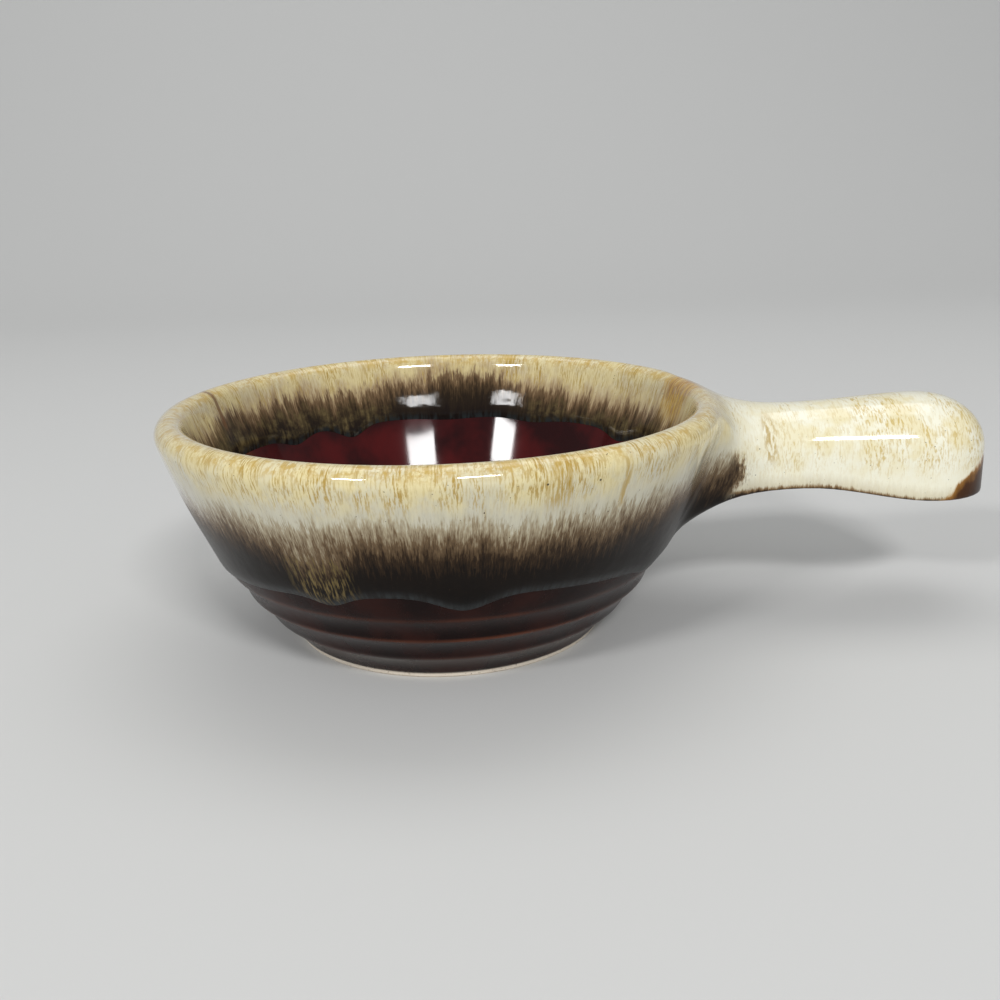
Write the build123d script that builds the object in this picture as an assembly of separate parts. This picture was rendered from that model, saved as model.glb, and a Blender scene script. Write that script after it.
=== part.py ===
"""Stoneware soup bowl with one stick handle, luted on, and its fired coats of glaze."""

import os
from math import cos, exp, pi, sin

from build123d import *

# Bowl in bare clay, in millimetres, standing on z = 0 about the Z axis
rim_radius = 64.0
rim_height = 50.25
rim_thickness = 5.0
wall_belly = 0.7
foot_radius = 36.4
foot_width = 4.6
foot_edge = 0.4
bare_height = 1.2
recess_depth = 2.2
floor_thickness = 5.8
well_radius = 39.0
well_rounding = 26.0

# Turned coves between the foot and the wall
cove_count = 3
cove_depth = 0.55
top_ridge_radius = 51.45
top_ridge_height = 19.6
ridge_belly = 1.2

# Handle in bare clay, along +X: lengths out from the rim, heights down from it
root_depth = 16.0
root_overlap = 6.0
neck_length = 20.0
grip_length = 31.2
neck_half_width = 11.0
end_half_width = 14.1
neck_step = 1.35
end_rise = 1.5
shoulder_drop = 10.4
neck_depth = 16.2
end_depth = 21.6
lower_edge_radius = 1.3
under_crown = 0.4

# Flare of the handle's root into the wall, at the buried root
flare_power = 2.6
root_flare = 24.0
root_toe_flare = 10.8
root_rise = 12.5
root_drop = 12.0
drop_power = 3.2
root_shoulder_rise = 16.0
root_crown = 2.0
flare_sections = 5
grip_sections = 3

# Slip joint and coats of glaze, by thickness
slip_thickness = 0.4
glaze_thickness = 0.4
drip_thickness = 0.9

# Lower edge of the drip glaze: mean heights on the wall, and its waviness
outside_drip_height = 23.5
inside_drip_height = 34.0
drip_wave = 1.5
drip_lobes = 7
drip_points = 48

# Lift of that edge to the handle's lower edge
drip_margin = 0.9
tip_bare_slope = 0.45
lift_angle = 0.42

crest_radius = rim_radius - rim_thickness / 2
floor_height = recess_depth + floor_thickness
floor_middle = recess_depth + floor_thickness / 2
foot_middle = foot_radius - foot_width / 2
wall_middle = top_ridge_radius - rim_thickness / 2
above_rim = rim_height + 4 * rim_thickness
beyond_rim = 2 * rim_radius

root_reach = rim_radius - root_depth
neck_reach = rim_radius + neck_length
end_reach = neck_reach + grip_length
neck_top = rim_height - neck_step
shoulder_height = neck_top - shoulder_drop
drip_reach = end_reach + end_half_width + rim_thickness


def ridge(step):
    """Radius and height of one turned ridge, counted up from the foot."""
    share = step / cove_count
    belly = 4 * ridge_belly * share * (1 - share)
    radius = foot_radius + (top_ridge_radius - foot_radius) * share + belly
    height = bare_height + (top_ridge_height - bare_height) * share
    return Vector(radius, height)


def bowed_arc(start, end, bow):
    """Arc from start to end that stands off the chord by bow, to its right."""
    chord = end - start
    right = Vector(chord.Y, -chord.X).normalized()
    return ThreePointArc(start, (start + end) / 2 + right * bow, end)


def bowl_outline(coat):
    """Half section of the bowl under a coat: foot, coves, wall, full-round rim, well and recess."""
    ridges = [ridge(i) for i in range(cove_count + 1)]
    slope = ridges[-1] - ridges[0]
    proud = Vector(slope.Y, -slope.X).normalized() * coat
    coves = [bowed_arc(low + proud, high + proud, -cove_depth) for low, high in zip(ridges, ridges[1:])]
    rim_start = Vector(rim_radius, rim_height)
    bare_wall = bowed_arc(ridges[-1], rim_start, wall_belly)
    inward = (bare_wall % 1).rotate(Axis.Z, 90)
    wall = bowed_arc(ridges[-1] + proud, rim_start - inward * coat, wall_belly)
    rim = TangentArc(wall @ 1, rim_start + inward * (rim_thickness + coat), tangent=wall % 1)
    heel = (well_radius - coat, floor_height + coat)
    well = TangentArc(rim @ 1, heel, tangent=rim % 1)
    foot_inside = foot_radius - foot_width - coat
    foot_outside = (coves[0] @ 0).X
    lower = Polyline(
        heel,
        (0, floor_height + coat),
        (0, recess_depth - coat),
        (foot_inside, recess_depth - coat),
        (foot_inside, -coat),
        (foot_outside, -coat),
        coves[0] @ 0,
    )
    outline = make_face([*coves, wall, rim, well, *lower.edges()])
    outline = fillet(outline.vertices().sort_by_distance(heel)[0], well_rounding - coat)
    toes = outline.vertices().group_by(Axis.Y)[0]
    return chamfer(toes, foot_edge)


def region(*corners):
    """Flat region of the half section, given by its corners as radius and height."""
    return make_face(Polyline(*corners, close=True))


# Halves of the section, split along the middle of the clay
clay_outline = bowl_outline(0)
wall_line = [
    (crest_radius, above_rim),
    (crest_radius, rim_height),
    (wall_middle, top_ridge_height),
    (foot_middle, floor_middle),
]
inside_half = region((0, above_rim), *wall_line, (0, floor_middle))
outside_half = region(
    *wall_line, (foot_middle, bare_height), (beyond_rim, bare_height), (beyond_rim, above_rim)
)
recess_half = region(
    (0, bare_height), (foot_middle, bare_height), (foot_middle, floor_middle), (0, floor_middle)
)


away_from_handle = Plane((0, 0, 0), x_dir=(-1, 0, 0), z_dir=(0, 1, 0))


def turned(section):
    """Solid of revolution of a half section, closed on the side away from the handle."""
    return revolve(away_from_handle * section, Axis.Z)


def filled_bowl(thickness):
    """The coated bowl filled to its axis and above: what the handle's root is cut back to."""
    return turned((bowl_outline(thickness) & outside_half) + inside_half + recess_half)


def handle_section(reach, coat):
    """Arched section of the handle at this reach, grown by a coat, and flared near the root."""
    to_root = max(0, (neck_reach - reach) / (neck_reach - root_reach))
    flare = to_root**flare_power
    along = min(1, max(0, (reach - neck_reach) / grip_length))
    swell = along * along * (3 - 2 * along)
    width = neck_half_width + (end_half_width - neck_half_width) * swell + coat
    shoulder_width = width + root_flare * flare
    toe_width = width + root_toe_flare * flare
    top = neck_top + end_rise * swell + root_rise * flare + coat
    depth = neck_depth + (end_depth - neck_depth) * swell
    bottom = neck_top + end_rise * swell - depth - root_drop * to_root**drop_power - coat
    shoulder = shoulder_height + root_shoulder_rise * flare
    toe = bottom + under_crown + root_crown * flare
    under = ThreePointArc((-toe_width, toe), (0, bottom), (toe_width, toe))
    right = Line((toe_width, toe), (shoulder_width, shoulder))
    arch = EllipticalCenterArc((0, shoulder), shoulder_width, top - shoulder, 0, arc_size=180)
    left = Line((-shoulder_width, shoulder), (-toe_width, toe))
    section = make_face([under, right, arch, left])
    lower_corners = section.vertices().group_by(Axis.Y)[0]
    section = fillet(lower_corners, lower_edge_radius)
    return Plane((reach, 0, 0), x_dir=(0, 1, 0), z_dir=(1, 0, 0)) * section


def handle_form(coat):
    """The whole handle, from inside the bowl's wall to its round tip, grown by a coat."""
    flare_step = neck_length + root_depth
    reaches = [root_reach + flare_step * i / flare_sections for i in range(flare_sections)]
    reaches += [neck_reach + grip_length * i / grip_sections for i in range(grip_sections + 1)]
    sections = [handle_section(reach, coat) for reach in reaches]
    grip = loft(sections)
    root = extrude(sections[0], -root_overlap)
    half_plane = Pos(end_reach, drip_reach / 2, 0) * Box(1, drip_reach, 4 * above_rim)
    half_section = sections[-1] & half_plane
    tip = revolve(half_section, Axis((end_reach, 0, 0), (0, 0, 1)), revolution_arc=-180)
    return grip + root + tip


def drip_wave_height(angle):
    """Rise and fall of the drip's edge round the bowl."""
    slow = sin(drip_lobes * angle)
    quick = sin((drip_lobes + 4) * angle + 1)
    return drip_wave * (slow + quick / 2)


def wavy_ring(radius, height, handle_height):
    """Closed curve at this radius that waves about a height, and runs level across the handle."""
    points = []
    for i in range(drip_points):
        angle = 2 * pi * i / drip_points - pi
        on_handle = exp(-((angle / lift_angle) ** 4))
        level = (height + drip_wave_height(angle)) * (1 - on_handle) + handle_height * on_handle
        points.append((radius * cos(angle), radius * sin(angle), level))
    return Spline(*points, periodic=True)


def drip_surface(outer_radius, height, inner_handle_height, outer_handle_height):
    """Ruled surface through the drip's edge, from inside the foot out to a radius."""
    inner_radius = foot_radius / 2
    inner_ring = wavy_ring(inner_radius, height, inner_handle_height)
    outer_ring = wavy_ring(outer_radius, height, outer_handle_height)
    return Face.make_surface_from_curves(inner_ring, outer_ring)


def handle_edge(reach):
    """Height of the drip's edge along the handle, a margin above its lower edge."""
    neck_edge = neck_top - neck_depth + drip_margin
    end_edge = neck_top + end_rise - end_depth + drip_margin
    return neck_edge + (end_edge - neck_edge) * (reach - neck_reach) / grip_length


bowl_body = turned(clay_outline)
bowl_fill = filled_bowl(0)
slip_fill = filled_bowl(slip_thickness)
handle_clay = handle_form(0) - bowl_fill
handle = handle_clay - slip_fill
luting_slip = handle_clay & slip_fill

# What lies below the drip's edge: on the wall and along the handle, at its tip, and in the well
outside_edge = drip_surface(
    drip_reach, outside_drip_height, handle_edge(foot_radius / 2), handle_edge(drip_reach)
)
outside_run = extrude(outside_edge, above_rim, dir=(0, 0, -1))
tip_edge = handle_edge(end_reach) + (drip_reach - end_reach) * tip_bare_slope
tip_side = region(
    (end_reach, 0), (drip_reach, 0), (drip_reach, tip_edge), (end_reach, handle_edge(end_reach))
)
tip_run = extrude(Plane.XZ * tip_side, beyond_rim, both=True)
inside_edge = drip_surface(beyond_rim, inside_drip_height, inside_drip_height, inside_drip_height)
inside_run = extrude(inside_edge, above_rim, dir=(0, 0, -1))
above_inside_edge = extrude(inside_edge, above_rim, dir=(0, 0, 1))

# Cream glaze fired into the brown over the rim and the handle: one thicker coat, run to a wavy edge
drip_section = bowl_outline(drip_thickness) - clay_outline
dripped_handle = handle_form(drip_thickness) - bowl_fill
upper_inside = inside_half & region(
    (foot_radius, floor_height), (beyond_rim, floor_height), (beyond_rim, above_rim), (foot_radius, above_rim)
)
drip_outside = turned(drip_section & outside_half) + dripped_handle - handle_clay
drip_outside -= outside_run
drip_outside -= tip_run
drip_inside = turned(drip_section & upper_inside) - inside_run
drip_glaze = drip_outside + drip_inside

# Brown glaze: coat outside and under the handle, liner in the well, and the recess in the foot
glaze_section = bowl_outline(glaze_thickness) - clay_outline
glazed_handle = handle_form(glaze_thickness) - bowl_fill
outer_glaze = turned(glaze_section & outside_half) + glazed_handle - handle_clay - drip_outside
inner_glaze = turned(glaze_section & inside_half) - above_inside_edge
recess_glaze = turned(glaze_section & recess_half)

pieces = {
    "bowl_body": bowl_body,
    "handle": handle,
    "luting_slip": luting_slip,
    "inner_glaze": inner_glaze,
    "outer_glaze": outer_glaze,
    "recess_glaze": recess_glaze,
    "drip_glaze": drip_glaze,
}
os.makedirs("parts", exist_ok=True)
for node, piece in pieces.items():
    export_step(piece, f"parts/{node}.step")
    print(node, len(piece.solids()), round(piece.volume, 1))
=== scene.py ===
from math import asin, atan2, cos, degrees, exp, hypot, pi, radians, sin, sqrt

import bmesh
import bpy
from mathutils import Matrix, Vector


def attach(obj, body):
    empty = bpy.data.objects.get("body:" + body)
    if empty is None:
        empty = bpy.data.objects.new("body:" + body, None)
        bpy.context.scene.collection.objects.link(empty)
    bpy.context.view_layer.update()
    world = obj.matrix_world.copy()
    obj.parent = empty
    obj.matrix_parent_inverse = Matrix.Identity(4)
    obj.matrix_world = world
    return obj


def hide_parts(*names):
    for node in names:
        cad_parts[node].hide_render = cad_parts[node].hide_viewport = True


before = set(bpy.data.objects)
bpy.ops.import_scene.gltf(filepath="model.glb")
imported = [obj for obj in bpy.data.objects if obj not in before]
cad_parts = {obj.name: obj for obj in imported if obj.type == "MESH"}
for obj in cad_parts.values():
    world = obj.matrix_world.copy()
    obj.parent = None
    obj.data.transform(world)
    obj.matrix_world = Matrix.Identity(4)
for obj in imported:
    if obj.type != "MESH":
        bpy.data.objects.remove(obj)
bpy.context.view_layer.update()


# The bowl, thrown and turned from one lump of buff stoneware clay. Its foot is wiped bare of glaze,
# so it stands on a dry, sandy ring, and everything else is under the glaze.

def feed(tree, node, inputs):
    """Sets inputs of a node, each to a plain value or to the output of another node."""
    for name, value in inputs.items():
        if isinstance(value, bpy.types.NodeSocket):
            tree.links.new(value, node.inputs[name])
        else:
            node.inputs[name].default_value = value


def put(tree, kind, inputs=None, **settings):
    """Adds a node with its settings and its inputs."""
    node = tree.nodes.new(kind)
    for name, value in settings.items():
        setattr(node, name, value)
    feed(tree, node, inputs or {})
    return node


def spread(tree, value, low, high, start=0.0, end=1.0):
    """Output that goes smoothly from start to end as the value goes from low to high."""
    inputs = {"Value": value, "From Min": low, "From Max": high, "To Min": start, "To Max": end}
    return put(tree, "ShaderNodeMapRange", inputs, interpolation_type="SMOOTHSTEP").outputs["Result"]


def blend_colours(tree, share, first, second):
    """Output colour that goes from the first to the second as the share goes from 0 to 1."""
    return put(tree, "ShaderNodeMix", {0: share, 6: first, 7: second}, data_type="RGBA").outputs[2]


def noise(tree, place, scale, detail=3.0, roughness=0.55):
    """Output of a noise about 1 / scale metres across."""
    inputs = {"Vector": place, "Scale": scale, "Detail": detail, "Roughness": roughness}
    return put(tree, "ShaderNodeTexNoise", inputs).outputs["Fac"]


def relief(tree, height, strength, depth):
    """Output normal of a relief of this depth in metres."""
    inputs = {"Height": height, "Strength": strength, "Distance": depth}
    return put(tree, "ShaderNodeBump", inputs).outputs["Normal"]


def finish_named(name):
    """A new material, its node tree and its Principled shader."""
    material = bpy.data.materials.new(name)
    material.use_nodes = True
    tree = material.node_tree
    return material, tree, tree.nodes["Principled BSDF"]


def object_place(tree):
    """Output with the place on the piece, in metres."""
    return put(tree, "ShaderNodeTexCoord").outputs["Object"]


def group_named(name, inputs, outputs):
    """A new node group with named sockets, its inputs to read and the node that takes its outputs."""
    group = bpy.data.node_groups.new(name, "ShaderNodeTree")
    for socket, kind in inputs.items():
        group.interface.new_socket(socket, in_out="INPUT", socket_type="NodeSocket" + kind)
    for socket, kind in outputs.items():
        group.interface.new_socket(socket, in_out="OUTPUT", socket_type="NodeSocket" + kind)
    return group, put(group, "NodeGroupInput").outputs, put(group, "NodeGroupOutput")


def dress(node_name, material):
    """Gives a CAD node its finish."""
    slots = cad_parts[node_name].data.materials
    slots.clear()
    slots.append(material)


# Grain of bare fired stoneware: mottled, with iron specks and a sandy skin
cloud_scale = 140.0
grit_scale = 2600.0
iron_colour = (0.09, 0.045, 0.02, 1)
sand_strength = 0.25
sand_depth = 0.0003
clay_grain, given, result = group_named(
    "clay_grain",
    {"Place": "Vector", "Pale": "Color", "Dark": "Color"},
    {"Colour": "Color", "Dryness": "Float", "Sand": "Float"},
)
cloud = noise(clay_grain, given["Place"], cloud_scale)
grit = noise(clay_grain, given["Place"], grit_scale, detail=2.0)
mottle = blend_colours(clay_grain, cloud, given["Pale"], given["Dark"])
iron = spread(clay_grain, grit, 0.66, 0.72)
speckled = blend_colours(clay_grain, iron, mottle, iron_colour)
dryness = spread(clay_grain, cloud, 0.3, 0.7, start=0.75, end=0.92)
feed(clay_grain, result, {"Colour": speckled, "Dryness": dryness, "Sand": grit})


def fired_clay(name, pale, dark):
    """Material of bare fired stoneware, between a pale and a dark tone."""
    material, tree, shader = finish_named(name)
    tones = {"Place": object_place(tree), "Pale": (*pale, 1), "Dark": (*dark, 1)}
    grain = put(tree, "ShaderNodeGroup", tones, node_tree=clay_grain).outputs
    sand = relief(tree, grain["Sand"], sand_strength, sand_depth)
    feed(tree, shader, {"Base Color": grain["Colour"], "Roughness": grain["Dryness"], "Normal": sand})
    return material


dress("bowl_body", fired_clay("bowl_clay", pale=(0.72, 0.65, 0.55), dark=(0.6, 0.52, 0.42)))


# The handle, pressed from the same clay, and the bed of slip that lutes its root to the wall. Both are
# hidden under the glaze once the pot is fired.
dress("handle", fired_clay("handle_clay", pale=(0.58, 0.48, 0.37), dark=(0.47, 0.37, 0.27)))
dress("luting_slip", fired_clay("slip_clay", pale=(0.5, 0.4, 0.3), dark=(0.4, 0.31, 0.22)))


# The brown glaze on the outside, dipped over the turned coves and ridges above the bare foot. It runs
# thin and rusty over each ridge, and pools almost black between them.
rim_radius = 0.064
rim_height = 0.05025
top_ridge_radius = 0.05145
top_ridge_height = 0.0196
wall_belly = 0.00078
foot_radius = 0.0364
bare_height = 0.0012
cove_count = 3
cove_depth = 0.0007
ridge_belly = 0.0012
brown_thickness = 0.0004
turns = 160
merge_distance = 1e-6


def between(start, end, share):
    """Value a share of the way from start to end."""
    return start + (end - start) * share


def bow(depth, share):
    """Height of a bow of this depth, a share of the way along it."""
    return 4 * depth * share * (1 - share)


def ridge(step):
    """Radius and height of one turned ridge, counted up from the foot."""
    share = step / cove_count
    radius = between(foot_radius, top_ridge_radius, share) + bow(ridge_belly, share)
    return radius, between(bare_height, top_ridge_height, share)


def outside_radius(height):
    """Radius of the clay's outside at this height: three coves, then the bowed wall."""
    if height >= top_ridge_height:
        share = (height - top_ridge_height) / (rim_height - top_ridge_height)
        return between(top_ridge_radius, rim_radius, share) + bow(wall_belly, share)
    step = (height - bare_height) / (top_ridge_height - bare_height) * cove_count
    low = min(cove_count - 1, max(0, int(step)))
    share = step - low
    return between(ridge(low)[0], ridge(low + 1)[0], share) - bow(cove_depth, share)


def turned_sheet(outline):
    """A sheet turned about the Z axis from an outline of radius and height."""
    sheet = bmesh.new()
    points = [sheet.verts.new((radius, 0, height)) for radius, height in outline]
    edges = [sheet.edges.new(pair) for pair in zip(points, points[1:])]
    bmesh.ops.spin(
        sheet,
        geom=points + edges,
        cent=(0, 0, 0),
        axis=(0, 0, 1),
        angle=2 * pi,
        steps=turns,
        use_merge=True,
    )
    bmesh.ops.remove_doubles(sheet, verts=sheet.verts, dist=merge_distance)
    bmesh.ops.recalc_face_normals(sheet, faces=sheet.faces)
    return sheet


def coat_piece(name, sheet, thickness, material):
    """The finished coat: the sheet with its thickness put on towards the clay, melted smooth."""
    mesh = bpy.data.meshes.new(name)
    sheet.to_mesh(mesh)
    sheet.free()
    mesh.shade_smooth()
    mesh.materials.append(material)
    piece = bpy.data.objects.new(name, mesh)
    bpy.context.collection.objects.link(piece)
    body = piece.modifiers.new("thickness", "SOLIDIFY")
    body.thickness = thickness
    body.offset = -1
    melt = piece.modifiers.new("melt", "SUBSURF")
    melt.levels = 1
    melt.render_levels = 1
    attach(piece, "root")
    return piece


def maths(tree, operation, *values, clamp=False):
    """Output of a Math node on one to three values."""
    inputs = dict(enumerate(values))
    return put(tree, "ShaderNodeMath", inputs, operation=operation, use_clamp=clamp).outputs[0]


# Drift of a brown glaze: clouds of a thin, redder tone in a deep, darker one
glaze_drift, given, result = group_named(
    "glaze_drift",
    {"Place": "Vector", "Scale": "Float", "Deep": "Color", "Thin": "Color"},
    {"Colour": "Color", "Drift": "Float"},
)
clouds = noise(glaze_drift, given["Place"], given["Scale"])
thinness = spread(glaze_drift, clouds, 0.35, 0.68)
drifting = blend_colours(glaze_drift, thinness, given["Deep"], given["Thin"])
feed(glaze_drift, result, {"Colour": drifting, "Drift": clouds})


def brown_drift(tree, place, scale, deep, thin):
    """Outputs of the drift of a brown glaze, between a deep and a thin tone."""
    tones = {"Place": place, "Scale": scale, "Deep": (*deep, 1), "Thin": (*thin, 1)}
    return put(tree, "ShaderNodeGroup", tones, node_tree=glaze_drift).outputs


def drifting_gloss(tree, brown, shiny, dull):
    """Output roughness of a brown glaze, which drifts from shiny to dull."""
    return spread(tree, brown["Drift"], 0.3, 0.7, shiny, dull)


# Rust on the ridges, its strength on each of them counted up from the foot
ridge_rust = (0.45, 1.0, 0.6)
rust_half_width = 0.0009
rust_drop = 0.0001
rust_colour = (0.10, 0.024, 0.007, 1)
outer_brown, tree, shader = finish_named("outer_brown")
place = object_place(tree)
height = put(tree, "ShaderNodeSeparateXYZ", {0: place}).outputs["Z"]
brown = brown_drift(tree, place, scale=90.0, deep=(0.007, 0.002, 0.0017), thin=(0.022, 0.0048, 0.003))
rust = 0.0
for step, strength in enumerate(ridge_rust, start=1):
    offset = maths(tree, "SUBTRACT", height, ridge(step)[1] - rust_drop)
    offset = maths(tree, "ABSOLUTE", offset)
    rust = maths(tree, "MAXIMUM", rust, spread(tree, offset, 0.0, rust_half_width, strength, 0.0))
patchy = spread(tree, noise(tree, place, 60.0, detail=4.0), 0.35, 0.65, start=0.3, end=1.0)
rust = maths(tree, "MULTIPLY", rust, patchy)
outer_finish = {
    "Base Color": blend_colours(tree, rust, brown["Colour"], rust_colour),
    "Roughness": drifting_gloss(tree, brown, shiny=0.22, dull=0.32),
    "Normal": relief(tree, brown["Drift"], strength=0.2, depth=0.0006),
    "Specular IOR Level": 0.12,
}
feed(tree, shader, outer_finish)

outer_top = 0.034
outer_lift = 1.1 * brown_thickness
cove_rows = 6
outer_wall_rows = 6
cove_steps = cove_rows * cove_count
heights = [between(bare_height, top_ridge_height, i / cove_steps) for i in range(cove_steps)]
heights += [between(top_ridge_height, outer_top, i / outer_wall_rows) for i in range(outer_wall_rows + 1)]
outer_sheet = turned_sheet([(outside_radius(level) + outer_lift, level) for level in heights])
outer_coat = coat_piece("outer_coat", outer_sheet, brown_thickness, outer_brown)
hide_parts("outer_glaze")


# The brown glaze in the recess of the foot, the same glass as on the outside. It is a thin, even wash
# left there by the dip, inside the ring that was wiped bare.
recess_brown, tree, shader = finish_named("recess_brown")
place = object_place(tree)
brown = brown_drift(tree, place, scale=110.0, deep=(0.014, 0.005, 0.004), thin=(0.04, 0.011, 0.007))
recess_gloss = drifting_gloss(tree, brown, shiny=0.2, dull=0.35)
feed(tree, shader, {"Base Color": brown["Colour"], "Roughness": recess_gloss})
dress("recess_glaze", recess_brown)


# The liner glaze, brown glass on the inside of the bowl. It is poured into the well and out again, and
# melts into a deep oxblood pool that runs up under the cream.
crest_lean = 0.313
inner_rim_radius = 0.05923
inner_rim_height = 0.051745
wall_hollow = 3.36
well_rounding = 0.026
well_centre = 0.0239
floor_height = 0.008
heel_height = 0.0221


def inside_radius(height):
    """Radius of the clay's inside at this height: the rounded well, then the bowed wall."""
    if height >= heel_height:
        drop = inner_rim_height - height
        return inner_rim_radius - crest_lean * drop - wall_hollow * drop * drop
    rise = floor_height + well_rounding - height
    return well_centre + sqrt(max(0, well_rounding**2 - rise * rise))


oxblood, tree, shader = finish_named("oxblood")
place = object_place(tree)
brown = brown_drift(tree, place, scale=70.0, deep=(0.018, 0.0008, 0.0012), thin=(0.070, 0.003, 0.0035))
liner_finish = {
    "Base Color": brown["Colour"],
    "Roughness": drifting_gloss(tree, brown, shiny=0.04, dull=0.09),
    "Specular IOR Level": 0.26,
}
feed(tree, shader, liner_finish)

inner_top = 0.0465
floor_rows = 4
well_rows = 10
inner_wall_rows = 8
liner_rounding = well_rounding - brown_thickness
heel_turn = asin((inside_radius(heel_height) - well_centre) / well_rounding)
outline = [(well_centre * i / floor_rows, floor_height + brown_thickness) for i in range(floor_rows)]
for i in range(well_rows):
    turn = heel_turn * i / well_rows
    radius = well_centre + liner_rounding * sin(turn)
    outline.append((radius, floor_height + well_rounding - liner_rounding * cos(turn)))
for i in range(inner_wall_rows + 1):
    level = between(heel_height, inner_top, i / inner_wall_rows)
    outline.append((inside_radius(level) - brown_thickness, level))
inner_sheet = turned_sheet(outline)
bmesh.ops.reverse_faces(inner_sheet, faces=inner_sheet.faces)
inner_coat = coat_piece("inner_coat", inner_sheet, brown_thickness, oxblood)
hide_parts("inner_glaze")


# The cream glaze, poured over the rim and the handle on top of the brown. In the fire it runs down the
# wall in fine hairs, darkens as it takes up the brown, and stops in a thick, wavy, rolled edge.
drip_thickness = 0.0009
over_brown = drip_thickness - brown_thickness
drip_shell = 0.0006
edge_swell = 0.00025
edge_roll = 0.0030

# Height of the edge outside, lifted at the front, and inside
outside_edge = 0.0192
front_lift = 0.0066
front_bearing = 268
front_spread = 55
inside_edge = 0.0378

# Tongues of the run glaze: bearing in degrees, drop in metres, half width in degrees
outside_tongues = (
    (244, 0.0024, 5),
    (273, 0.0038, 7),
    (325, 0.0016, 6),
    (60, 0.0022, 7),
    (95, 0.0026, 8),
    (130, 0.0020, 6),
    (160, 0.0028, 8),
    (200, 0.0015, 6),
)
inside_tongues = (
    (30, 0.0024, 6),
    (62, 0.0010, 7),
    (88, 0.0007, 8),
    (118, 0.0032, 5),
    (137, 0.0022, 5),
    (170, 0.0020, 7),
    (205, 0.0024, 7),
    (235, 0.0018, 6),
    (262, 0.0026, 8),
    (290, 0.0019, 6),
    (318, 0.0023, 7),
    (345, 0.0018, 6),
)

# The rim's full-round crest, and the handle's sections at its neck and at its end
crest_centre_radius = 0.061615
crest_centre_height = 0.050998
crest_rounding = 0.0025
neck_reach = 0.084
end_reach = 0.1152
neck_half_width = 0.0119
end_half_width = 0.0150
neck_top = 0.0498
end_top = 0.0513
neck_bottom = 0.0318
end_bottom = 0.0279
shoulder_height = 0.0385

# How the handle's root flares into the wall
root_reach = 0.048
flare_power = 2.6
root_flare = 0.024
root_toe_flare = 0.0108
root_rise = 0.0125
root_drop = 0.0120
drop_power = 3.2
root_shoulder_rise = 0.016

# Rings of the sheet up the wall and over the crest, and stations along the handle
edge_rows = (0.0, 0.012, 0.03, 0.055, 0.085, 0.14)
wall_rows = 12
crest_rows = 9
web_rows = 3
root_rows = wall_rows + web_rows
shoulder_rows = 9
shoulder_share = shoulder_rows / root_rows
root_columns = 8
root_half_angle = root_columns * 2 * pi / turns
root_slack = 0.001
root_shares = (0.12, 0.3, 0.5, 0.72, 1.0)
grip_shares = (0.2, 0.4, 0.6, 0.8, 1.0)
tip_turns = (20, 40, 57, 70, 80)
corner_rings = 2
corner_turns = 5
corner_softness = 0.5


def turned_from(angle, bearing):
    """Degrees from a bearing to an angle, the short way round."""
    aside = angle - radians(bearing)
    return degrees(atan2(sin(aside), cos(aside)))


def swelling(angle, bearing, width):
    """Share of a soft swelling at this angle, with its middle at a bearing."""
    return exp(-((turned_from(angle, bearing) / width) ** 2))


def run_down(angle, tongues):
    """How far the tongues of glaze have run down at this angle."""
    return sum(drop * swelling(angle, bearing, width) for bearing, drop, width in tongues)


def outside_run(angle):
    """Height at which the cream stops on the outside."""
    lift = front_lift * swelling(angle, front_bearing, front_spread)
    return outside_edge + lift - run_down(angle, outside_tongues)


def inside_run(angle):
    """Height at which the cream stops on the inside."""
    return inside_edge - run_down(angle, inside_tongues)


def coat_depth(above_edge):
    """Depth of the coat over the clay, this far above its rolled edge."""
    if above_edge < edge_roll:
        return brown_thickness + (over_brown + edge_swell) * sin(pi / 2 * above_edge / edge_roll)
    return drip_thickness + edge_swell * exp(-(((above_edge - edge_roll) / edge_roll) ** 2))


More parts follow.
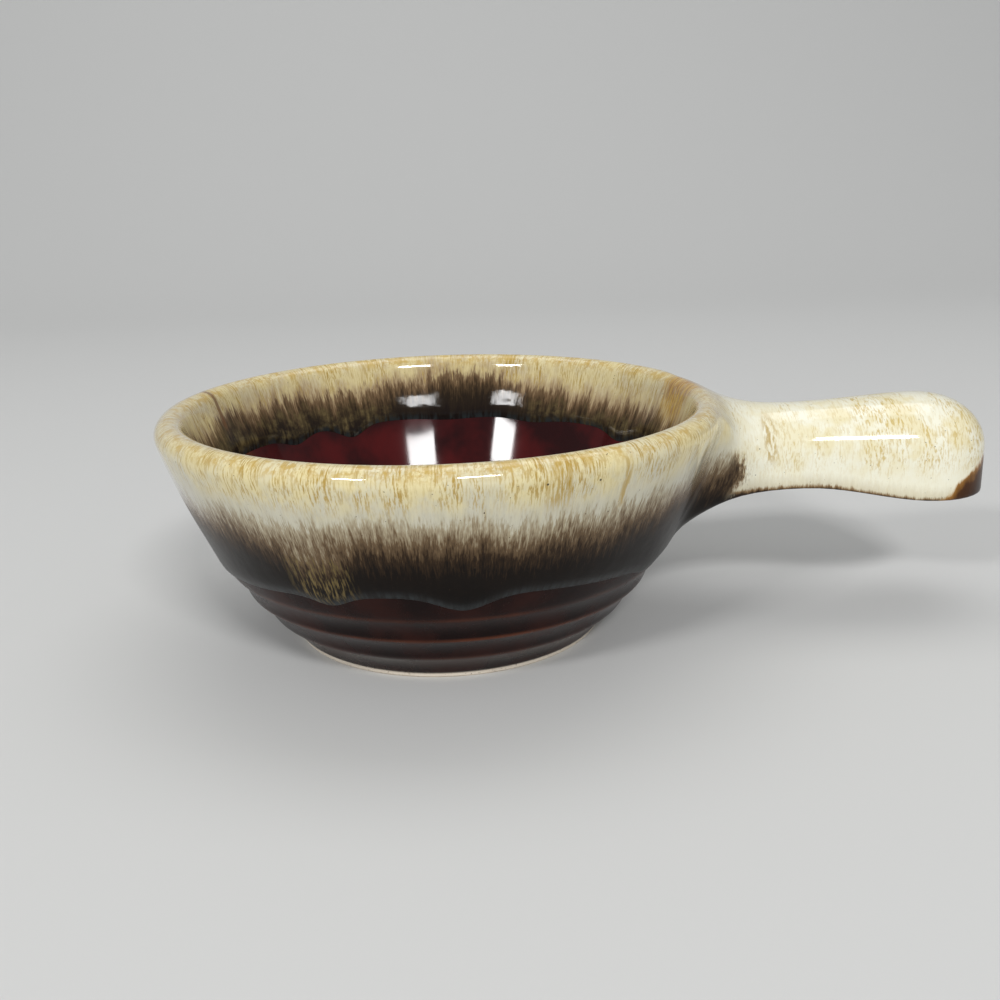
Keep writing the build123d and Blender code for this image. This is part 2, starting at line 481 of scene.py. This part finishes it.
# The sheet is turned first from a plain stand-in: heights 0 to 1 are the outside wall, 2 is the crest,
# and 3 to 4 are the inside wall. Then each point moves to its real place on the coat.
crest_mark = 2.0
inside_mark = 4.0
stand_in_bore = 0.05
shares = list(edge_rows) + [between(edge_rows[-1], 1, (i + 1) / wall_rows) for i in range(wall_rows)]
outline = [(1.0, share) for share in shares]
outline += [(1 - i / crest_rows, crest_mark) for i in range(1, crest_rows)]
outline += [(stand_in_bore, inside_mark - share) for share in reversed(shares)]
drip_sheet = turned_sheet(outline)
crest_lean_angle = atan2(crest_lean, 1)
across_root = drip_sheet.verts.layers.float.new("across_root")
up_root = drip_sheet.verts.layers.float.new("up_root")
at_root = drip_sheet.verts.layers.float.new("at_root")
above_edge = drip_sheet.verts.layers.float.new("above_edge")
for vertex in drip_sheet.verts:
    angle = atan2(vertex.co.y, vertex.co.x)
    mark = vertex.co.z
    vertex[up_root] = -1
    vertex[above_edge] = rim_height
    if mark < crest_mark - 0.5:
        low = outside_run(angle)
        level = between(low, rim_height, mark)
        vertex[above_edge] = level - low
        radius = outside_radius(level) + coat_depth(level - low)
        vertex[across_root] = angle / root_half_angle
        vertex[up_root] = (mark - edge_rows[-1]) / (1 - edge_rows[-1]) * wall_rows / root_rows
        vertex[at_root] = radius * cos(angle)
    elif mark < crest_mark + 0.5:
        over_crest = 1 - hypot(vertex.co.x, vertex.co.y)
        turn = over_crest * pi - crest_lean_angle
        radius = crest_centre_radius + (crest_rounding + drip_thickness) * cos(turn)
        level = crest_centre_height + (crest_rounding + drip_thickness) * sin(turn)
        row = round(over_crest * crest_rows)
        if row <= web_rows:
            vertex[across_root] = angle / root_half_angle
            vertex[up_root] = (wall_rows + row) / root_rows
            vertex[at_root] = radius * cos(angle)
    else:
        low = inside_run(angle)
        level = between(low, inner_rim_height, inside_mark - mark)
        vertex[above_edge] = level - low
        radius = inside_radius(level) - coat_depth(level - low)
    vertex.co = (radius * cos(angle), radius * sin(angle), level)


def on_root(face):
    """Whether a face of the wall or the rim's shoulder lies under the handle's root."""
    return all(v[up_root] > -root_slack and abs(v[across_root]) < 1 + root_slack for v in face.verts)


def handle_point(reach, across, up, shrink):
    """Side and height on the handle's section at this reach, from a square grid bent into its arch."""
    to_root = max(0, (neck_reach - reach) / (neck_reach - root_reach))
    flare = to_root**flare_power
    along = min(1, max(0, (reach - neck_reach) / (end_reach - neck_reach)))
    swell = along * along * (3 - 2 * along)
    width = between(neck_half_width, end_half_width, swell)
    top = between(neck_top, end_top, swell) + root_rise * flare
    bottom = between(neck_bottom, end_bottom, swell) - root_drop * to_root**drop_power
    shoulder = shoulder_height + root_shoulder_rise * flare
    shoulder_width = (width + root_flare * flare) * shrink
    toe_width = (width + root_toe_flare * flare) * shrink
    if up < shoulder_share:
        share = up / shoulder_share
        return between(toe_width, shoulder_width, share) * across, between(bottom, shoulder, share)
    share = (up - shoulder_share) / (1 - shoulder_share)
    side = shoulder_width * across * sqrt(1 - share * share / 2)
    return side, shoulder + (top - shoulder) * shrink * share * sqrt(1 - across * across / 2)


# The handle's coat grows out of the wall, one station after another, to its rounded tip
root_faces = [face for face in drip_sheet.faces if on_root(face)]
root_points = {vertex for face in root_faces for vertex in face.verts}
corner = {vertex for vertex in root_points if not all(on_root(face) for face in vertex.link_faces)}
stations = [("root", share) for share in root_shares]
stations += [("grip", between(neck_reach, end_reach, share)) for share in grip_shares]
stations += [("tip", radians(turn)) for turn in tip_turns]
for kind, station in stations:
    grown = bmesh.ops.extrude_face_region(drip_sheet, geom=root_faces)["geom"]
    bmesh.ops.delete(drip_sheet, geom=[face for face in root_faces if face.is_valid], context="FACES")
    root_faces = [item for item in grown if isinstance(item, bmesh.types.BMFace)]
    for vertex in (item for item in grown if isinstance(item, bmesh.types.BMVert)):
        shrink = 1.0
        if kind == "root":
            reach = between(vertex[at_root], neck_reach, station)
        elif kind == "grip":
            reach = station
        else:
            reach = end_reach + end_half_width * sin(station)
            shrink = cos(station)
        side, level = handle_point(reach, vertex[across_root], vertex[up_root], shrink)
        vertex.co = (reach, side, level)

# The glaze fills the corner all round the root
for _ in range(corner_rings):
    corner |= {edge.other_vert(vertex) for vertex in corner for edge in vertex.link_edges}
for _ in range(corner_turns):
    bmesh.ops.smooth_vert(
        drip_sheet,
        verts=list(corner),
        factor=corner_softness,
        use_axis_x=True,
        use_axis_y=True,
        use_axis_z=True,
    )
bmesh.ops.recalc_face_normals(drip_sheet, faces=drip_sheet.faces)


def vectors(tree, operation, *values):
    """Output of a Vector Math node: a number for a length, a distance or a dot product, else a vector."""
    node = put(tree, "ShaderNodeVectorMath", dict(enumerate(values)), operation=operation)
    return node.outputs["Value" if operation in ("LENGTH", "DISTANCE", "DOT_PRODUCT") else "Vector"]


def blend_values(tree, share, first, second):
    """Output value that goes from the first to the second as the share goes from 0 to 1."""
    return put(tree, "ShaderNodeMix", {0: share, 2: first, 3: second}).outputs[0]


# Places for streaks: drawn out down the wall, and down the sides of the handle
hair_stretch = 0.17
grip_stretch = (1, hair_stretch, 1.5 * hair_stretch)
grip_start = 0.0630
grip_full = 0.0680
cream, tree, shader = finish_named("cream")
place = object_place(tree)
axes = put(tree, "ShaderNodeSeparateXYZ", {0: place}).outputs
flat = put(tree, "ShaderNodeCombineXYZ", {"X": axes["X"], "Y": axes["Y"]}).outputs[0]
reach = vectors(tree, "LENGTH", flat)
heading = vectors(tree, "NORMALIZE", flat)
round_wall = vectors(tree, "MULTIPLY", heading, (rim_radius, rim_radius, rim_radius))
drawn_down = maths(tree, "MULTIPLY", axes["Z"], hair_stretch)
down_wall = put(tree, "ShaderNodeCombineXYZ", {"Z": drawn_down}).outputs[0]
wall_place = vectors(tree, "ADD", round_wall, down_wall)
grip_place = vectors(tree, "MULTIPLY", place, grip_stretch)
on_grip = spread(tree, axes["X"], grip_start, grip_full)
off_grip = spread(tree, on_grip, 0.0, 1.0, start=1.0, end=0.0)


def hairs(scale, detail, roughness=0.6):
    """Output of streaks that run down the wall, and down the sides of the handle."""
    on_wall = noise(tree, wall_place, scale, detail, roughness)
    along_grip = noise(tree, grip_place, scale, detail, roughness)
    return blend_values(tree, on_grip, on_wall, along_grip)


def centred(value, size):
    """Output that wavers about zero by a size, from a noise."""
    return maths(tree, "MULTIPLY", maths(tree, "SUBTRACT", value, 0.5), size)


def added(first, *others):
    """Output with the sum of several values."""
    for value in others:
        first = maths(tree, "ADD", first, value)
    return first


def times(first, *others):
    """Output with the product of several masks or values."""
    for value in others:
        first = maths(tree, "MULTIPLY", first, value)
    return first


def stops(value, *pairs):
    """Output colour from a row of levels, each with its colour."""
    low = pairs[0][0]
    high = pairs[-1][0]
    share = maths(tree, "DIVIDE", maths(tree, "SUBTRACT", value, low), high - low, clamp=True)
    ramp = put(tree, "ShaderNodeValToRGB", {"Fac": share})
    points = ramp.color_ramp.elements
    while len(points) < len(pairs):
        points.new(0.5)
    for point, (at, colour) in zip(points, pairs):
        point.position = (at - low) / (high - low)
        point.color = (*colour, 1)
    return ramp.outputs["Color"]


def at_bearing(bearing, half_width):
    """Mask of a stripe down the wall at a bearing, both in degrees."""
    aim = (cos(radians(bearing)), sin(radians(bearing)), 0)
    facing = vectors(tree, "DOT_PRODUCT", heading, aim)
    return spread(tree, facing, cos(radians(half_width)), 1.0)


def in_band(value, low, high, soft):
    """Mask of a band of a value, with soft ends."""
    return times(spread(tree, value, low - soft, low), spread(tree, value, high, high + soft, 1.0, 0.0))


def brightness(colour):
    """Output with how light a colour is."""
    return put(tree, "ShaderNodeRGBToBW", {0: colour}).outputs[0]


# Noises that more than one effect reads, from single hairs to wide clouds
fine = hairs(3000.0, detail=2.0)
locks = hairs(900.0, detail=3.0)
clouds = noise(tree, wall_place, 260.0, detail=3.0)
swells = noise(tree, place, 130.0, detail=2.0)
drift = noise(tree, round_wall, 38.0, detail=2.0)

# The hare's fur on the outside: cream at the rim, then white, then brown hairs, then almost black
fur_bearing = 244
fur_half_width = 9
fur_drop = 0.0032
white_colour = (0.60, 0.58, 0.48, 1)
olive_colour = (0.18, 0.13, 0.048, 1)
at_fur = at_bearing(fur_bearing, fur_half_width)
off_rim = spread(tree, axes["Z"], 0.0335, 0.0400, start=1.0, end=0.0)
outside_waver = added(centred(fine, 0.009), centred(locks, 0.009), centred(drift, 0.010))
outside_level = added(axes["Z"], outside_waver, times(at_fur, off_rim, fur_drop))
outside_tone = stops(
    outside_level,
    (0.0220, (0.003, 0.002, 0.0016)),
    (0.0310, (0.007, 0.004, 0.0025)),
    (0.0345, (0.034, 0.019, 0.009)),
    (0.0380, (0.14, 0.090, 0.047)),
    (0.0410, (0.34, 0.28, 0.18)),
    (0.0440, (0.53, 0.50, 0.38)),
    (0.0485, (0.63, 0.585, 0.41)),
    (0.0540, (0.71, 0.64, 0.41)),
)
clots = spread(tree, clouds, 0.42, 0.58)
white_band = times(in_band(outside_level, 0.0435, 0.0465, soft=0.0022), clots, 0.5)
outside_tone = blend_colours(tree, white_band, outside_tone, white_colour)
olive = times(at_fur, in_band(axes["Z"], 0.0235, 0.0330, soft=0.0030))
olive = times(olive, spread(tree, hairs(1900.0, detail=3.0), 0.47, 0.64, start=0.0, end=0.85))
outside_tone = blend_colours(tree, olive, outside_tone, olive_colour)

# The fur on the inside, which is thin at the back, and mottled with olive elsewhere
bare_bearing = 84
bare_half_width = 27
bare_rise = 0.0030
inside_tilt = 0.025
mottle_colour = (0.13, 0.095, 0.04, 1)
bare_middle = at_bearing(bare_bearing, bare_half_width)
inside_waver = added(centred(fine, 0.006), centred(locks, 0.008))
inside_waver = added(inside_waver, centred(clouds, 0.010), centred(drift, 0.008))
leaning = times(axes["X"], inside_tilt)
inside_level = added(axes["Z"], inside_waver, leaning, times(bare_middle, -bare_rise))
inside_tone = stops(
    inside_level,
    (0.0350, (0.010, 0.006, 0.005)),
    (0.0400, (0.022, 0.014, 0.008)),
    (0.0425, (0.055, 0.034, 0.017)),
    (0.0450, (0.17, 0.105, 0.053)),
    (0.0470, (0.40, 0.29, 0.16)),
    (0.0495, (0.58, 0.48, 0.29)),
    (0.0540, (0.71, 0.64, 0.41)),
)
mottle = spread(tree, noise(tree, place, 330.0, detail=5.0, roughness=0.6), 0.38, 0.70)
mottle = times(mottle, spread(tree, locks, 0.36, 0.60, start=0.3, end=1.0))
mottle = times(mottle, in_band(inside_level, 0.0360, 0.0425, soft=0.0020))
mottle = times(mottle, spread(tree, bare_middle, 0.0, 0.6, start=1.0, end=0.0))
inside_tone = blend_colours(tree, mottle, inside_tone, mottle_colour)

# Inside and outside part at the middle of the wall's thickness, a cone
middle_radius = 0.0405
middle_slope = 0.41
middle_soft = 0.0008
wall_middle = maths(tree, "MULTIPLY_ADD", axes["Z"], middle_slope, middle_radius)
off_middle = maths(tree, "SUBTRACT", reach, wall_middle)
is_inside = spread(tree, off_middle, -middle_soft, middle_soft, start=1.0, end=0.0)
wall_tone = blend_colours(tree, is_inside, outside_tone, inside_tone)

# The pockets on both sides of the handle's root, where it meets the wall: partly dark fur where the brown
# shows through the cream, and partly painted shade in the corner under the handle
pocket_middle = (0.0630, 0.0180, 0.0370)
pocket_size = (0.0062, 0.0062, 0.0052)
both_sides = vectors(tree, "ABSOLUTE", place)
from_pocket = vectors(tree, "SUBTRACT", both_sides, pocket_middle)
from_pocket = vectors(tree, "LENGTH", vectors(tree, "DIVIDE", from_pocket, pocket_size))
from_pocket = added(from_pocket, centred(fine, 0.9), centred(locks, 0.9))
pocket_fur_and_shade_tone = stops(
    from_pocket,
    (0.50, (0.014, 0.008, 0.005)),
    (0.80, (0.07, 0.042, 0.02)),
    (1.05, (0.26, 0.18, 0.10)),
    (1.35, (0.62, 0.57, 0.42)),
)

# The handle: cream down to a thin dark line along its lower edge, and dark on its underside, which is
# told from the sides by how far in from them it lies
inset_share = 0.5
underside = spread(tree, axes["X"], neck_reach, end_reach, neck_bottom, end_bottom)
grip_width = spread(tree, axes["X"], neck_reach, end_reach, neck_half_width, end_half_width)
past_end = maths(tree, "MAXIMUM", maths(tree, "SUBTRACT", axes["X"], end_reach), 0.0)
off_axis = put(tree, "ShaderNodeCombineXYZ", {"X": past_end, "Y": axes["Y"]}).outputs[0]
off_axis = vectors(tree, "LENGTH", off_axis)
inset = maths(tree, "MAXIMUM", maths(tree, "SUBTRACT", grip_width, off_axis), 0.0)
dark_line = added(underside, times(inset, inset_share))
grip_level = maths(tree, "SUBTRACT", axes["Z"], dark_line)
grip_level = added(grip_level, centred(fine, 0.0012), centred(locks, 0.0020))
grip_tone = stops(
    grip_level,
    (-0.0020, (0.012, 0.006, 0.004)),
    (-0.0001, (0.03, 0.016, 0.008)),
    (0.0006, (0.24, 0.15, 0.07)),
    (0.0012, (0.64, 0.59, 0.44)),
    (0.0040, (0.84, 0.82, 0.67)),
)
# Blends in the pockets' dark fur and painted shade beside the root
in_pocket_fur_and_shade = spread(tree, from_pocket, 1.0, 1.4, start=1.0, end=0.0)
grip_tone = blend_colours(tree, in_pocket_fur_and_shade, grip_tone, pocket_fur_and_shade_tone)
tone = blend_colours(tree, on_grip, wall_tone, grip_tone)

# Ochre hairs, dense under the rim and in dashes on the handle, over a yellow cast
yellow_colour = (0.74, 0.63, 0.32, 1)
wall_ochre = (0.43, 0.29, 0.072, 1)
grip_ochre = (0.55, 0.39, 0.10, 1)
pale_enough = spread(tree, brightness(tone), 0.1, 0.4)
under_rim = spread(tree, axes["Z"], 0.0430, 0.0495, start=0.06, end=1.0)
on_side = spread(tree, axes["Z"], 0.0330, 0.0390, start=0.12, end=0.8)
on_side = times(on_side, spread(tree, axes["X"], 0.0740, 0.0880, start=0.45, end=1.0))
where = blend_values(tree, on_grip, under_rim, on_side)
yellow = spread(tree, noise(tree, place, 150.0, detail=3.0), 0.40, 0.62, start=0.0, end=0.7)
yellow = times(yellow, where, pale_enough)
tone = blend_colours(tree, yellow, tone, yellow_colour)
patches = spread(tree, hairs(210.0, detail=2.0), 0.38, 0.62, start=0.25, end=1.0)
ochre = spread(tree, hairs(2400.0, detail=3.0, roughness=0.65), 0.47, 0.62)
ochre = times(ochre, patches, where, pale_enough)
ochre_tone = blend_colours(tree, on_grip, wall_ochre, grip_ochre)
tone = blend_colours(tree, ochre, tone, ochre_tone)

# Flecks and blotches on the crest, and orange spots on its inner lip at the front
fleck_colour = (0.46, 0.28, 0.065, 1)
blotch_colour = (0.52, 0.35, 0.085, 1)
spot_colour = (0.40, 0.16, 0.03, 1)
lip_bearing = 260
lip_half_width = 42
flecks = noise(tree, place, 1300.0, detail=3.0, roughness=0.6)
flecks = spread(tree, flecks, 0.48, 0.61, start=0.0, end=0.6)
flecks = times(flecks, spread(tree, axes["Z"], 0.0510, 0.0538), off_grip)
fleck_patches = spread(tree, noise(tree, round_wall, 90.0, detail=2.0), 0.36, 0.62, start=0.35, end=1.0)
tone = blend_colours(tree, times(flecks, fleck_patches), tone, fleck_colour)
blotches = noise(tree, place, 400.0, detail=4.0, roughness=0.6)
blotches = spread(tree, blotches, 0.50, 0.62, start=0.0, end=0.75)
blotches = times(blotches, spread(tree, axes["Z"], 0.0512, 0.0536), off_grip)
tone = blend_colours(tree, blotches, tone, blotch_colour)
inner_lip = times(in_band(reach, 0.0588, 0.0607, soft=0.0008), spread(tree, axes["Z"], 0.0515, 0.0528))
spots = spread(tree, noise(tree, place, 330.0, detail=3.0), 0.50, 0.62, start=0.0, end=0.85)
spots = times(spots, inner_lip, at_bearing(lip_bearing, lip_half_width))
tone = blend_colours(tree, spots, tone, spot_colour)

# Long runs of ochre on the wall: bearing and half width in degrees, then lowest and highest point and
# soft ends in metres. One more crosses the handle's root.
wall_runs = ((289.5, 3.4, 0.0470, 0.0520, 0.0040), (303.0, 1.1, 0.0440, 0.0510, 0.0030))
run_colour = (0.42, 0.265, 0.035, 1)
run_share = 0.75
runs = in_band(axes["X"], 0.0748, 0.0758, soft=0.0020)
runs = times(runs, in_band(axes["Z"], 0.0410, 0.0460, soft=0.0040))
for bearing, half_width, low, high, soft in wall_runs:
    wall_run = times(at_bearing(bearing, half_width), in_band(axes["Z"], low, high, soft))
    runs = maths(tree, "MAXIMUM", runs, wall_run)
torn = spread(tree, hairs(1500.0, detail=3.0), 0.42, 0.56)
tone = blend_colours(tree, times(runs, torn, run_share), tone, run_colour)

# The golden brown patch on the rim beside the handle
patch_middle = (0.0592, 0.0085, 0.0525)
patch_brown = (0.30, 0.13, 0.02, 1)
patch_gold = (0.55, 0.32, 0.03, 1)
from_patch = added(vectors(tree, "DISTANCE", place, patch_middle), centred(locks, 0.010))
rim_patch = spread(tree, from_patch, 0.0050, 0.0110, start=0.95, end=0.0)
rim_patch = times(rim_patch, spread(tree, fine, 0.36, 0.54, start=0.45, end=1.0))
patch_hairs = spread(tree, hairs(1300.0, detail=3.0), 0.40, 0.60)
patch_tone = blend_colours(tree, patch_hairs, patch_brown, patch_gold)
tone = blend_colours(tree, rim_patch, tone, patch_tone)

# Small faults of the fire: a torn crease at the rim, and pinholes, some of them at a bearing and height
crease_bearing = 162
crease_half_width = 1.0
crease_colour = (0.16, 0.07, 0.025, 1)
crease_share = 0.8
pinhole_spots = ((287, 0.0498), (297, 0.0490), (275, 0.0330))
pinhole_colour = (0.03, 0.018, 0.010, 1)
crease = times(at_bearing(crease_bearing, crease_half_width), spread(tree, axes["Z"], 0.0440, 0.0465))
tone = blend_colours(tree, times(crease, is_inside, crease_share), tone, crease_colour)
pinholes = spread(tree, noise(tree, place, 1900.0, detail=1.0), 0.772, 0.79)
for bearing, level in pinhole_spots:
    radius = outside_radius(level) + drip_thickness
    spot = (radius * cos(radians(bearing)), radius * sin(radians(bearing)), level)
    from_spot = vectors(tree, "DISTANCE", place, spot)
    pinholes = maths(tree, "MAXIMUM", pinholes, spread(tree, from_spot, 0.00010, 0.00035, 1.0, 0.0))
tone = blend_colours(tree, pinholes, tone, pinhole_colour)

# The tip, where the cream missed the lower corner and the brown shows amber, below a slanted line
tip_line_reach = 0.1175
tip_line_height = 0.0268
tip_slope = 0.85
tip_side_slope = 0.16
line_offset = tip_line_height - tip_line_reach * tip_slope
tip_line = maths(tree, "MULTIPLY_ADD", axes["X"], tip_slope, line_offset)
tip_level = added(maths(tree, "SUBTRACT", axes["Z"], tip_line), times(axes["Y"], tip_side_slope))
tip_level = added(tip_level, centred(swells, 0.008), centred(fine, 0.0012), centred(locks, 0.0022))
on_tip = times(spread(tree, axes["X"], 0.112, 0.116), spread(tree, grip_level, -0.0016, -0.0006))
tip_tone = stops(
    tip_level,
    (-0.0060, (0.028, 0.010, 0.004)),
    (-0.0018, (0.06, 0.021, 0.005)),
    (0.0002, (0.27, 0.12, 0.02)),
    (0.0012, (0.60, 0.42, 0.19)),
)
tip_share = times(on_tip, spread(tree, tip_level, 0.0002, 0.0016, start=1.0, end=0.0))
tone = blend_colours(tree, tip_share, tone, tip_tone)

# The thick rolled edge, where the glaze turns grey-blue. The tint is partly the colour of the thick,
# pooled glaze and partly a painted highlight on the roll
edge_blue_and_highlight_colour = (0.024, 0.029, 0.031, 1)
over_edge = put(tree, "ShaderNodeAttribute", attribute_name="above_edge").outputs["Fac"]
edge_blue_and_highlight = spread(tree, over_edge, 0.0004, 0.0026, start=1.0, end=0.0)
edge_blue_and_highlight = times(edge_blue_and_highlight, spread(tree, locks, 0.4, 0.6, start=0.1, end=0.9))
tone = blend_colours(tree, edge_blue_and_highlight, tone, edge_blue_and_highlight_colour)

# Pale glaze is glossy under a clear coat, dark glaze is satin, and the inside shines all over
inside_roughness = 0.07
light = brightness(tone)
satin = spread(tree, light, 0.02, 0.3, start=0.30, end=0.1)
peel = added(times(swells, 3.0), times(fine, 0.15))
cream_finish = {
    "Base Color": tone,
    "Roughness": blend_values(tree, is_inside, satin, inside_roughness),
    "Normal": relief(tree, peel, strength=0.12, depth=0.0005),
    "Coat Weight": spread(tree, light, 0.03, 0.3, start=0.0, end=0.7),
    "Coat Roughness": 0.05,
    "Specular IOR Level": 0.14,
}
feed(tree, shader, cream_finish)
drip_coat = coat_piece("drip_coat", drip_sheet, drip_shell, cream)
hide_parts("drip_glaze")


# The studio: a pale paper sweep that rises behind the bowl, two soft boxes in front of it, one to each
# side of the camera, and a wide, weak one overhead.
sweep_half_width = 12.0
sweep_front = -12.0
sweep_back = 1.3
sweep_top = 2.2
sweep_bend = 0.7
sweep_sheet = bmesh.new()
sweep_line = ((sweep_front, 0), (sweep_back, 0), (sweep_back, sweep_top))
points = [sweep_sheet.verts.new((-sweep_half_width, depth, level)) for depth, level in sweep_line]
edges = [sweep_sheet.edges.new(pair) for pair in zip(points, points[1:])]
grown = bmesh.ops.extrude_edge_only(sweep_sheet, edges=edges)["geom"]
far_points = [item for item in grown if isinstance(item, bmesh.types.BMVert)]
bmesh.ops.translate(sweep_sheet, verts=far_points, vec=(2 * sweep_half_width, 0, 0))
fold = [edge for edge in sweep_sheet.edges if len(edge.link_faces) == 2]
bmesh.ops.bevel(
    sweep_sheet, geom=fold, offset=sweep_bend, segments=16, profile=0.5, affect="EDGES", material=-1
)
bmesh.ops.recalc_face_normals(sweep_sheet, faces=sweep_sheet.faces)
floor_mesh = bpy.data.meshes.new("floor")
sweep_sheet.to_mesh(floor_mesh)
sweep_sheet.free()
floor_mesh.shade_smooth()
floor = bpy.data.objects.new("floor", floor_mesh)
bpy.context.collection.objects.link(floor)
floor_paint, tree, shader = finish_named("floor_paint")
feed(tree, shader, {"Base Color": (0.62, 0.62, 0.61, 1), "Roughness": 0.7})
floor_mesh.materials.append(floor_paint)

world = bpy.data.worlds.new("studio")
bpy.context.scene.world = world
world.use_nodes = True
background = world.node_tree.nodes["Background"]
feed(world.node_tree, background, {"Color": (0.92, 0.94, 0.96, 1), "Strength": 0.4})


def soft_lamp(name, spot, aim, width, depth, power):
    """A rectangular soft lamp at a spot, aimed at a point."""
    lamp = bpy.data.lights.new(name, "AREA")
    lamp.shape = "RECTANGLE"
    lamp.size = width
    lamp.size_y = depth
    lamp.energy = power
    holder = bpy.data.objects.new(name, lamp)
    holder.location = spot
    holder.rotation_euler = (Vector(aim) - Vector(spot)).to_track_quat("-Z", "Y").to_euler()
    bpy.context.collection.objects.link(holder)


bowl_middle = (0.03, 0, 0.03)
soft_lamp("right_box", (0.34, -1.36, 1.12), bowl_middle, width=0.44, depth=0.20, power=14.0)
soft_lamp("left_box", (-0.93, -1.15, 1.02), bowl_middle, width=0.34, depth=0.16, power=10.0)
soft_lamp("overhead", (0.1, 0.35, 1.1), bowl_middle, width=1.1, depth=0.6, power=3.0)

camera_spot = (0, -0.260, 0.1065)
camera_yaw = radians(2.9)
camera_pitch = radians(16.63)
camera_roll = radians(-1.68)
camera_data = bpy.data.cameras.new("camera")
camera_data.lens = 40.615
camera_data.sensor_width = 36.0
camera = bpy.data.objects.new("camera", camera_data)
camera_turn = Matrix.Rotation(-camera_yaw, 4, "Z") @ Matrix.Rotation(pi / 2 - camera_pitch, 4, "X")
camera_turn = camera_turn @ Matrix.Rotation(camera_roll, 4, "Z")
camera.matrix_world = Matrix.Translation(camera_spot) @ camera_turn
bpy.context.collection.objects.link(camera)
bpy.context.scene.camera = camera
bpy.context.scene.view_settings.view_transform = "Standard"
